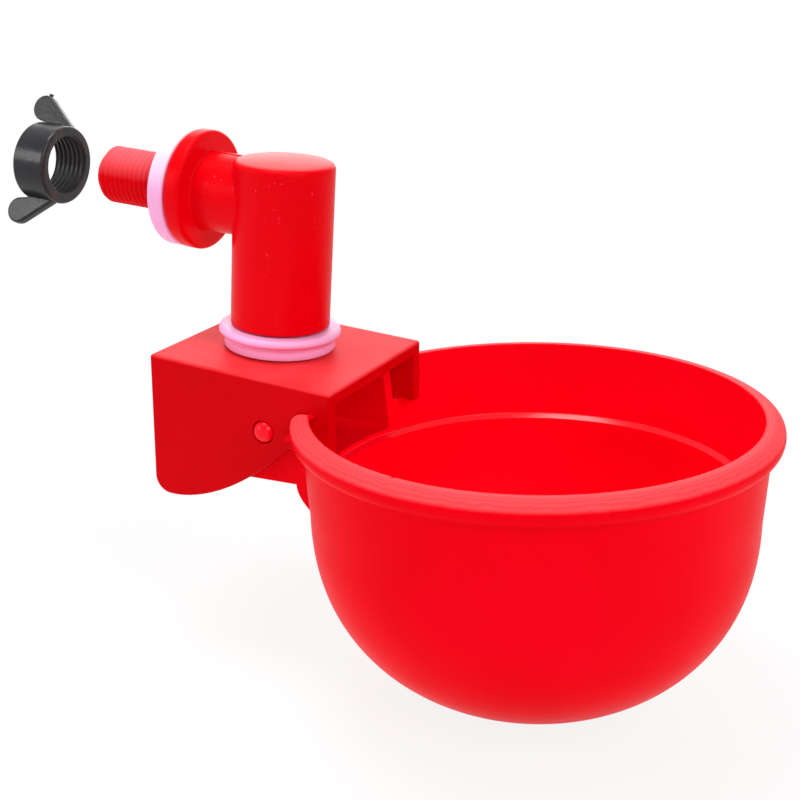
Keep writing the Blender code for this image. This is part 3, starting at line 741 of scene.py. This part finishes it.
# %% Saddle gasket
COLLAR_TOP = -21.0 * MM
COLLAR_FOOT = -24.6 * MM
COLLAR_HOLE_R = 5.9 * MM
collar = [(COLLAR_HOLE_R, COLLAR_TOP)]
collar += arc(9.55 * MM, COLLAR_TOP - 0.85 * MM, 0.85 * MM, 90.0, -20.0, 9)
collar += arc(9.75 * MM, COLLAR_TOP - 1.75 * MM, 0.35 * MM, 60.0, 180.0, 6)[3:]
for radius, drop in in_mm([(9.28, 2.05), (9.34, 2.45), (9.45, 2.75)]):
    collar.append((radius, COLLAR_TOP - drop))
collar += arc(9.25 * MM, COLLAR_FOOT + 0.2 * MM, 0.2 * MM, 0.0, -90.0, 3)
collar += [(COLLAR_HOLE_R, COLLAR_FOOT)]
saddle_gasket = lathe("saddle_collar", collar + collar[:1], 128)
settle(saddle_gasket, (AXIS_X, 0.0, 0.0))
finish_piece(saddle_gasket, "inlet", "saddle_gasket", 60.0)

# %% [markdown]
# ## Wing nut
# A short hub with two blades that sweep back to round tips. The hub is turned, and a blade
# is drawn with its root inside the hub. Its front edge runs straight to the circle of the
# tip and touches it. The point where it touches could be found by eye, but here the angle
# where the arc starts follows from the tip's radius and its distance.

# %% Hub and blade
NUT_FACE = -24.2 * MM
NUT_BACK = -6.6 * MM
NUT_R = 6.9 * MM
NUT_ROUND = 0.5 * MM
TIP_X = -7.5 * MM
TIP_Z = 9.5 * MM
TIP_R = 2.34 * MM
BLADE_START = -0.6 * MM
BLADE_END = -6.2 * MM
BLADE_ROOT = 6.05 * MM
BLADE_HALF = 0.9 * MM
hub = [(0.0, 0.0)] + arc(NUT_R - NUT_ROUND, -NUT_ROUND, NUT_ROUND, 90.0, 0.0, 5)
hub += arc(NUT_R - NUT_ROUND, NUT_BACK + NUT_ROUND, NUT_ROUND, 0.0, -90.0, 5)
hub += [(0.0, NUT_BACK)]
nut = settle(lathe("wing_nut_moulding", hub, 96), (NUT_FACE, 0.0, 0.0), LYING_DOWN)
run_x = TIP_X - BLADE_START
run_z = TIP_Z - NUT_R
lean = math.degrees(math.atan2(run_z, run_x))
swing = math.degrees(math.asin(TIP_R / math.hypot(run_x, run_z)))
blade = [(BLADE_START, BLADE_ROOT), (BLADE_START, NUT_R)]
blade += arc(TIP_X, TIP_Z, TIP_R, lean - swing - 90.0, 255.0, 28)
blade += [(BLADE_END, NUT_R), (BLADE_END, BLADE_ROOT)]
wing = slab("wing", blade, -BLADE_HALF, BLADE_HALF)
soften(wing, 0.45 * MM, 4, 35.0)
print("blade leans", round(lean, 1), "degrees")

# %% [markdown]
# The second blade is a copy of the first turned half round. A stub of the gate, where the
# plastic ran in, is left on the upper blade. The hub is tapped by cutting the threaded rod
# out of it.

# %% Wings, gate stub and thread
WING_TURN = -25.0
STUB_R = 0.38 * MM
TAP_CORE = 5.05 * MM
TAP_CREST = 5.4 * MM
settle(wing, (NUT_FACE, 0.0, 0.0), (WING_TURN, 0.0, 0.0))
other_wing = wing.copy()
other_wing.data = wing.data.copy()
bpy.context.scene.collection.objects.link(other_wing)
settle(other_wing, turn=(180.0, 0.0, 0.0))
tip_top = TIP_Z + TIP_R
stub_place = (TIP_X + 0.3 * MM, 0.0, 0.0)
stub = rod("gate_stub", STUB_R, tip_top - 0.3 * MM, tip_top + 0.4 * MM, 16, stub_place)
join(wing, settle(stub, (NUT_FACE, 0.0, 0.0), (WING_TURN, 0.0, 0.0)))
join(nut, wing)
join(nut, other_wing)
tap = threaded_rod("tap", TAP_CORE, TAP_CREST, 11 * MM)
cut(nut, settle(tap, (NUT_FACE - 8.5 * MM, 0.0, 0.0), LYING_DOWN))
finish_piece(nut, "nut", "wing_nut", 40.0)

# %% [markdown]
# ## Inside the barrel
# The bush, the plunger and its seal can only be glimpsed from below, between the bracket's
# plates, but a part from a library may be opened up. They are turned like the rest. The
# bush has a slot across its under side for the tool that screws it in.

# %% Bush
bush_outline = in_mm([(2.9, -17.5), (5.2, -17.5), (5.6, -17.9), (5.6, -27.5)])
bush_outline += arc(8.1 * MM, -27.8 * MM, 0.3 * MM, 90.0, 0.0, 4)
bush_outline += arc(8.1 * MM, -29.4 * MM, 0.3 * MM, 0.0, -90.0, 4)
bush_outline += arc(3.3 * MM, -29.3 * MM, 0.4 * MM, 270.0, 180.0, 4)
bush = lathe("bush_moulding", bush_outline + bush_outline[:1], 96)
settle(bush, (AXIS_X, 0.0, 0.0))
driver_low = (10 * MM, -0.7 * MM, -32 * MM)
driver_high = (31 * MM, 0.7 * MM, -28.8 * MM)
cut(bush, block("driver", driver_low, driver_high, 0.1 * MM))
finish_piece(bush, "inlet", "valve_bush")

# %% [markdown]
# The plunger's head is a shallow cup that holds the seal, and four notches in its collar
# let the water past. Its stem ends in half a ball, which rests near the trough's pad.

# %% Plunger and seal
STEM_R = 2.0 * MM
PLUNGER_COLLAR_R = 5.3 * MM
stem_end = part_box("valve_plunger")[0][2]
stem = in_mm([(0.0, -9.73), (3.2, -9.73), (3.2, -8.83), (3.8, -8.83), (3.8, -10.73)])
stem += in_mm([(2.0, -12.53), (2.0, -15.8), (5.3, -15.8), (5.3, -17.2), (2.0, -17.2)])
stem += arc(0.0, stem_end + STEM_R, STEM_R, 0.0, -90.0, 10)
plunger = settle(lathe("plunger_moulding", stem, 64), (AXIS_X, 0.0, 0.0))
for i in range(4):
    around = math.radians(90.0 * (i + 0.5))
    notch_x = AXIS_X + PLUNGER_COLLAR_R * math.cos(around)
    notch_y = PLUNGER_COLLAR_R * math.sin(around)
    cut(plunger, rod("notch", 1.9 * MM, -18.5 * MM, -14.5 * MM, 32, (notch_x, notch_y, 0.0)))
finish_piece(plunger, "valve", "valve_plunger")
disc = [(0.0, -7.83 * MM)] + arc(2.6 * MM, -8.13 * MM, 0.3 * MM, 90.0, 0.0, 4)
disc += arc(2.6 * MM, -9.13 * MM, 0.3 * MM, 0.0, -90.0, 4) + [(0.0, -9.43 * MM)]
seal = settle(lathe("seal_disc", disc, 48), (AXIS_X, 0.0, 0.0))
finish_piece(seal, "valve", "valve_seal")

# %% [markdown]
# ## Valve spring
# The spring pushes the plunger down, and it is pressed together when the cup lifts the
# plunger. A coil could be a Screw modifier on a small circle, but the turn at each end of
# this one lies close to the next, so the pitch changes on the way.

# %% Valve spring
WIRE_R = 0.35 * MM
COIL_R = 4.9 * MM
COIL_TURNS = 6
COIL_STEPS = 24
CLOSED_PITCH = 0.77 * MM
COIL_TOP = -6.3 * MM
COIL_FOOT = -15.5 * MM


def coil_point(turns):
    """The middle of the wire after some turns from the top."""
    high, low = COIL_TOP - WIRE_R, COIL_FOOT + WIRE_R
    if turns < 1:
        z = high - CLOSED_PITCH * turns
    elif turns > COIL_TURNS - 1:
        z = low + CLOSED_PITCH * (COIL_TURNS - turns)
    else:
        open_height = high - low - 2 * CLOSED_PITCH
        z = high - CLOSED_PITCH - open_height * (turns - 1) / (COIL_TURNS - 2)
    around = 2 * math.pi * turns
    return Vector((COIL_R * math.cos(around), COIL_R * math.sin(around), z))


wire = [coil_point(i / COIL_STEPS) for i in range(COIL_STEPS * COIL_TURNS + 1)]
draw_chain("spring_coil", [(wire[0].x, wire[0].z)])
for before, after in zip(wire, wire[1:]):
    bpy.ops.mesh.extrude_region_move(TRANSFORM_OT_translate={"value": after - before})
bpy.ops.object.mode_set(mode="OBJECT")
bpy.ops.object.convert(target="CURVE")
curve = bpy.context.object.data
curve.bevel_depth = WIRE_R
curve.bevel_resolution = 3
curve.use_fill_caps = True
bpy.ops.object.convert(target="MESH")
spring = settle(bpy.context.object, (AXIS_X, 0.0, 0.0))
finish_piece(spring, "inlet", "valve_spring")
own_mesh(spring)

# %% [markdown]
# ## Moulded plastic
# A single flat colour looks like a drawing. Real moulded plastic is nearly even, but its
# gloss wanders a little, its skin has a faint orange peel, and handling leaves hair-fine
# scratches. Images could carry all this, but noises need no image and no unwrapping. They
# are read in Object coordinates, so they stay on the piece when it moves. These helpers
# fetch the coordinates, take them apart, make a noise, and mix two colours or numbers.

# %% Coordinates, noises and mixes
def open_up(made):
    """A material's nodes and links, and Object coordinates for them."""
    nodes, links = made.node_tree.nodes, made.node_tree.links
    return nodes, links, nodes.new("ShaderNodeTexCoord")


def axes(nodes, links, vector):
    """The X, Y and Z of a vector, each an output of its own."""
    parts = nodes.new("ShaderNodeSeparateXYZ")
    links.new(vector, parts.inputs["Vector"])
    return parts.outputs


def noise(nodes, links, coordinates, scale, detail, stretch=(1.0, 1.0, 1.0)):
    """A noise in Object coordinates, stretched by a Mapping node."""
    mapping = nodes.new("ShaderNodeMapping")
    mapping.inputs["Scale"].default_value = stretch
    links.new(coordinates.outputs["Object"], mapping.inputs["Vector"])
    made = nodes.new("ShaderNodeTexNoise")
    made.inputs["Scale"].default_value = scale
    made.inputs["Detail"].default_value = detail
    links.new(mapping.outputs["Vector"], made.inputs["Vector"])
    return made.outputs["Fac"]


def blend(nodes, links, factor, first, second, kind="RGBA"):
    """Mixes two colours, or two numbers with kind VALUE. Each is fixed or comes from a node."""
    made = nodes.new("ShaderNodeMix")
    made.data_type = "RGBA" if kind == "RGBA" else "FLOAT"
    links.new(factor, made.inputs[0])
    ends = [socket for socket in made.inputs if socket.name in ("A", "B") and socket.type == kind]
    for socket, value in zip(ends, (first, second)):
        if isinstance(value, bpy.types.NodeSocket):
            links.new(value, socket)
        else:
            socket.default_value = value
    return [socket for socket in made.outputs if socket.type == kind][0]


# %% [markdown]
# Three noises make a moulded finish: a wide one tints the colour and the roughness, one that
# is stretched along an axis becomes scratches in the roughness, and a fine one is a very low
# bump. Where a piece has sharp cut edges, a Bevel node rounds the light on them.

# %% Moulded finish
WIDE_SCALE = 55.0
HAIR_SCALE = 260.0
HAIR_STRETCH = (1.0, 14.0, 9.0)
PEEL_SCALE = 900.0
PEEL_HEIGHT = 0.05 * MM


def moulded(name, tones, roughness, peel, specular=0.5, edge=0.0):
    """Two tones of one colour, a range of roughness, an orange peel and a rounded edge."""
    made = bpy.data.materials.new(name)
    made.use_nodes = True
    nodes, links, coordinates = open_up(made)
    shader = nodes["Principled BSDF"]
    shader.inputs["Specular IOR Level"].default_value = specular
    wide = noise(nodes, links, coordinates, WIDE_SCALE, 3.0)
    first, second = [(*tone, 1.0) for tone in tones]
    colour = blend(nodes, links, spread(nodes, links, wide, 0.0, 1.0), first, second)
    links.new(colour, shader.inputs["Base Color"])
    hair = noise(nodes, links, coordinates, HAIR_SCALE, 2.0, HAIR_STRETCH)
    total = nodes.new("ShaderNodeMath")
    total.operation = "ADD"
    links.new(spread(nodes, links, wide, *roughness), total.inputs[0])
    links.new(spread(nodes, links, hair, 0.0, 0.10, 0.66, 0.72), total.inputs[1])
    links.new(total.outputs[0], shader.inputs["Roughness"])
    bump = nodes.new("ShaderNodeBump")
    bump.inputs["Strength"].default_value = peel
    bump.inputs["Distance"].default_value = PEEL_HEIGHT
    links.new(noise(nodes, links, coordinates, PEEL_SCALE, 3.0), bump.inputs["Height"])
    if edge > 0:
        bevel = nodes.new("ShaderNodeBevel")
        bevel.samples = 6
        bevel.inputs["Radius"].default_value = edge
        links.new(bevel.outputs["Normal"], bump.inputs["Normal"])
    links.new(bump.outputs["Normal"], shader.inputs["Normal"])
    return made


# %% [markdown]
# Some places differ in tone: dust and a trimmed edge are real marks, and the paler tops are
# painted sheen. Their faces could be given a second material, but its border would be hard.
# So a helper mixes another tone and another roughness into the finish, as far as a mask
# says. Dressing a piece makes a finish its only material.

# %% Wear, painted sheen and dressing
def mix_wear_and_sheen(made, mask, tone, rough):
    """Turns the finish to a tone and a roughness where the mask is 1."""
    nodes, links = made.node_tree.nodes, made.node_tree.links
    shader = nodes["Principled BSDF"]
    for name, kind, value in (("Base Color", "RGBA", (*tone, 1.0)), ("Roughness", "VALUE", rough)):
        socket = shader.inputs[name]
        before = socket.links[0].from_socket
        links.new(blend(nodes, links, mask, before, value, kind), socket)


def dress(piece, material):
    """Gives the piece this material alone."""
    piece.data.materials.clear()
    piece.data.materials.append(material)
    print(piece.name, "is", material.name)


# %% [markdown]
# The cup's wall is thin and lets light through, so its red is brighter than the bracket's.
# Real light through the wall could be rendered, but a brighter tone is quicker and steadier.
# The bracket's darker red is also painted shade, for the shade on its side plates. Dust sits
# in fine specks on the elbow, and a wider noise gathers them in patches. The bracket's top
# gets a paler tone, a painted sheen of the sky, which a mask finds by its height.

# %% Red plastic
cup_finish = moulded(
    "red_thin_wall", ((0.92, 0.0, 0.010), (0.86, 0.0, 0.006)),
    roughness=(0.34, 0.42), peel=0.25, specular=0.02,
)
elbow_finish = moulded(
    "red_gloss", ((0.83, 0.0, 0.006), (0.77, 0.0, 0.004)),
    roughness=(0.28, 0.36), peel=0.25, specular=0.04, edge=0.7 * MM,
)
# Painted shade: the bracket's red is darker than the cup's.
bracket_shade_and_sheen = moulded(
    "red_plate", ((0.65, 0.0, 0.004), (0.60, 0.0, 0.003)),
    roughness=(0.40, 0.48), peel=0.25, specular=0.03,
)
bush_finish = moulded(
    "red_satin", ((0.70, 0.001, 0.004), (0.64, 0.001, 0.003)),
    roughness=(0.30, 0.38), peel=0.3, specular=0.1, edge=0.2 * MM,
)
nodes, links, coordinates = open_up(elbow_finish)
grains = spread(nodes, links, noise(nodes, links, coordinates, 1900.0, 0.0), 0.0, 1.0, 0.74, 0.84)
patches = spread(nodes, links, noise(nodes, links, coordinates, 120.0, 1.0), 0.0, 0.45, 0.52, 0.66)
mix_wear_and_sheen(elbow_finish, times(nodes, links, grains, patches), (0.92, 0.10, 0.14), 0.5)
# Painted sheen: the bracket's top turns paler, made uneven by a noise.
nodes, links, coordinates = open_up(bracket_shade_and_sheen)
height = axes(nodes, links, coordinates.outputs["Object"])["Z"]
on_top = spread(nodes, links, height, 0.0, 1.0, BRACKET_TOP - 0.45 * MM, BRACKET_TOP - 0.10 * MM)
top_sheen_noise = spread(nodes, links, noise(nodes, links, coordinates, 160.0, 5.0), 0.55, 1.0)
mix_wear_and_sheen(bracket_shade_and_sheen, times(nodes, links, on_top, top_sheen_noise), (0.93, 0.045, 0.055), 0.48)
dress(elbow, elbow_finish)
dress(bracket, bracket_shade_and_sheen)
dress(bush, bush_finish)

# %% [markdown]
# The top of the bead round the bowl is painted paler than the rest, a painted sheen of the
# sky, broken by fine lines that run round it. A painted map would do, but a mask can find the
# bead by its place, in coordinates that a Mapping node centres on the bowl's mouth and turns
# level: high enough and far enough from the middle. A Wave texture of rings about the bowl's
# axis draws the lines.

# %% Painted sheen on the bead
BEAD_LOW = -1.75 * MM
BEAD_HIGH = -1.15 * MM
BEAD_IN = 35.95 * MM
BEAD_OUT = 36.15 * MM
RING_WIDTH = 0.9 * MM
rim_centre = Vector(PIVOT) + Matrix.Rotation(math.radians(TILT), 3, "Y") @ Vector(BOWL_AXIS)
nodes, links, coordinates = open_up(cup_finish)
level = nodes.new("ShaderNodeMapping")
level.vector_type = "TEXTURE"
level.inputs["Location"].default_value = rim_centre
level.inputs["Rotation"].default_value = (0.0, math.radians(TILT), 0.0)
links.new(coordinates.outputs["Object"], level.inputs["Vector"])
height = axes(nodes, links, level.outputs["Vector"])["Z"]
high_up = spread(nodes, links, height, 0.0, 1.0, BEAD_LOW, BEAD_HIGH)
flat = nodes.new("ShaderNodeVectorMath")
flat.operation = "MULTIPLY"
flat.inputs[1].default_value = (1.0, 1.0, 0.0)
links.new(level.outputs["Vector"], flat.inputs[0])
away = nodes.new("ShaderNodeVectorMath")
away.operation = "LENGTH"
links.new(flat.outputs["Vector"], away.inputs[0])
far_out = spread(nodes, links, away.outputs["Value"], 0.0, 1.0, BEAD_IN, BEAD_OUT)
rings = nodes.new("ShaderNodeTexWave")
rings.wave_type = "RINGS"
rings.rings_direction = "Z"
rings.inputs["Scale"].default_value = 1.0 / RING_WIDTH / 2
rings.inputs["Distortion"].default_value = 5.0
rings.inputs["Detail"].default_value = 3.0
links.new(level.outputs["Vector"], rings.inputs["Vector"])
lines = spread(nodes, links, rings.outputs["Fac"], 0.72, 1.0, 0.0, 1.0)
bead = times(nodes, links, times(nodes, links, high_up, far_out), lines)
# Painted sheen: the bead's top turns pale, in fine rings.
mix_wear_and_sheen(cup_finish, bead, (0.98, 0.075, 0.088), 0.50)
dress(cup, cup_finish)

# %% [markdown]
# The inside of the bowl was shaped by the polished half of the mould, and the boss ends were
# rubbed smooth by the bracket, so these faces get a second, glossier material. They are
# found by their place and by the way they face, seen with the cup turned level again. The
# material's red is also brighter, painted light for the light that bounces round inside the
# bowl.

# %% Polished inside
POLISHED_R = 35.9 * MM
POLISHED_TOP = -0.5 * MM
POLISHED_FOOT = -48.2 * MM
# Painted light: a brighter red than the outside's, for the bounce inside the bowl.
polished_and_lit_inside = moulded(
    "red_inner_wall", ((0.97, 0.0, 0.014), (0.92, 0.0, 0.010)),
    roughness=(0.17, 0.23), peel=0.15, specular=0.20,
)
cup.data.materials.append(polished_and_lit_inside)
upright = Matrix.Rotation(math.radians(-TILT), 3, "Y")
bowl_middle = Vector((0.0, 0.0, -15 * MM))
polished = 0
for face in cup.data.polygons:
    place = upright @ (face.center - rim_centre)
    faces_in = (upright @ face.normal).dot(bowl_middle - place) > 0
    in_bowl = place.xy.length < POLISHED_R and POLISHED_FOOT < place.z < POLISHED_TOP
    beside = face.center - Vector(PIVOT)
    at_boss = beside.xz.length < BOSS_R + 0.01 * MM
    on_boss = at_boss and abs(beside.y) > EAR_HALF + 0.05 * MM
    if (in_bowl and faces_in) or on_boss:
        face.material_index = 1
        polished += 1
print("polished faces:", polished)

# %% [markdown]
# ## Rubber, black plastic and steel
# The gaskets are a pale rubber, and a little light goes through their edges, which
# Subsurface gives. Their pink tint is painted reflection of the red plastic round them. The
# tops of the washer and of the stud catch the sky and look paler, so both finishes turn
# paler towards their tops near the wall: a painted sheen.

# %% Pale rubber and painted sheen on the tops
# Painted reflection: the pink in these tones is red light from the plastic round them.
rubber = moulded(
    "pale_rubber_skin", ((0.96, 0.46, 0.77), (0.92, 0.41, 0.70)),
    roughness=(0.38, 0.50), peel=0.5,
)
shader = rubber.node_tree.nodes["Principled BSDF"]
shader.inputs["Subsurface Weight"].default_value = 0.4
shader.inputs["Subsurface Radius"].default_value = (1.0, 0.6, 0.8)
shader.inputs["Subsurface Scale"].default_value = 0.8 * MM
dress(stud_gasket, rubber)
dress(saddle_gasket, rubber)
# Painted sheen: both finishes turn paler towards their tops near the wall.
for made, low, high, tone in (
    (rubber, 1.0 * MM, 9.5 * MM, (0.98, 0.84, 0.93)),
    (elbow_finish, 0.5 * MM, STUD_R, (0.98, 0.16, 0.19)),
):
    nodes, links, coordinates = open_up(made)
    parts = axes(nodes, links, coordinates.outputs["Object"])
    on_top = spread(nodes, links, parts["Z"], 0.0, 1.0, low, high)
    by_wall = spread(nodes, links, parts["X"], 1.0, 0.0, 3.0 * MM, 3.2 * MM)
    mix_wear_and_sheen(made, times(nodes, links, on_top, by_wall), tone, 0.5)
    print(made.name, "fades towards its top near the wall")

# %% [markdown]
# The nut is a duller black with flow marks and a brownish tint where its flash was trimmed,
# next to its seating face. The plunger, the seal and the spring's drawn steel wire take
# plain finishes from the same helper, and only the steel is metallic.

# %% Nut, plunger, seal and spring
nut_finish = moulded(
    "black_satin", ((0.007, 0.007, 0.010), (0.016, 0.016, 0.019)),
    roughness=(0.24, 0.40), peel=1.0, specular=0.32, edge=0.30 * MM,
)
nodes, links, coordinates = open_up(nut_finish)
along = axes(nodes, links, coordinates.outputs["Object"])["X"]
trimmed = spread(nodes, links, along, 0.0, 1.0, NUT_FACE - 0.75 * MM, NUT_FACE - 0.25 * MM)
patches = spread(nodes, links, noise(nodes, links, coordinates, 420.0, 3.0), 0.0, 0.6, 0.48, 0.64)
mix_wear_and_sheen(nut_finish, times(nodes, links, trimmed, patches), (0.060, 0.036, 0.028), 0.6)
dress(nut, nut_finish)
plunger_finish = moulded(
    "white_smooth", ((0.80, 0.80, 0.78), (0.76, 0.76, 0.73)), roughness=(0.30, 0.38), peel=0.2,
)
dress(plunger, plunger_finish)
seal_finish = moulded(
    "black_rubber_skin", ((0.020, 0.020, 0.020), (0.030, 0.029, 0.028)),
    roughness=(0.55, 0.68), peel=0.6,
)
dress(seal, seal_finish)
steel = moulded(
    "drawn_steel", ((0.62, 0.62, 0.64), (0.55, 0.55, 0.57)), roughness=(0.22, 0.34), peel=0.4,
)
steel.node_tree.nodes["Principled BSDF"].inputs["Metallic"].default_value = 1.0
dress(spring, steel)
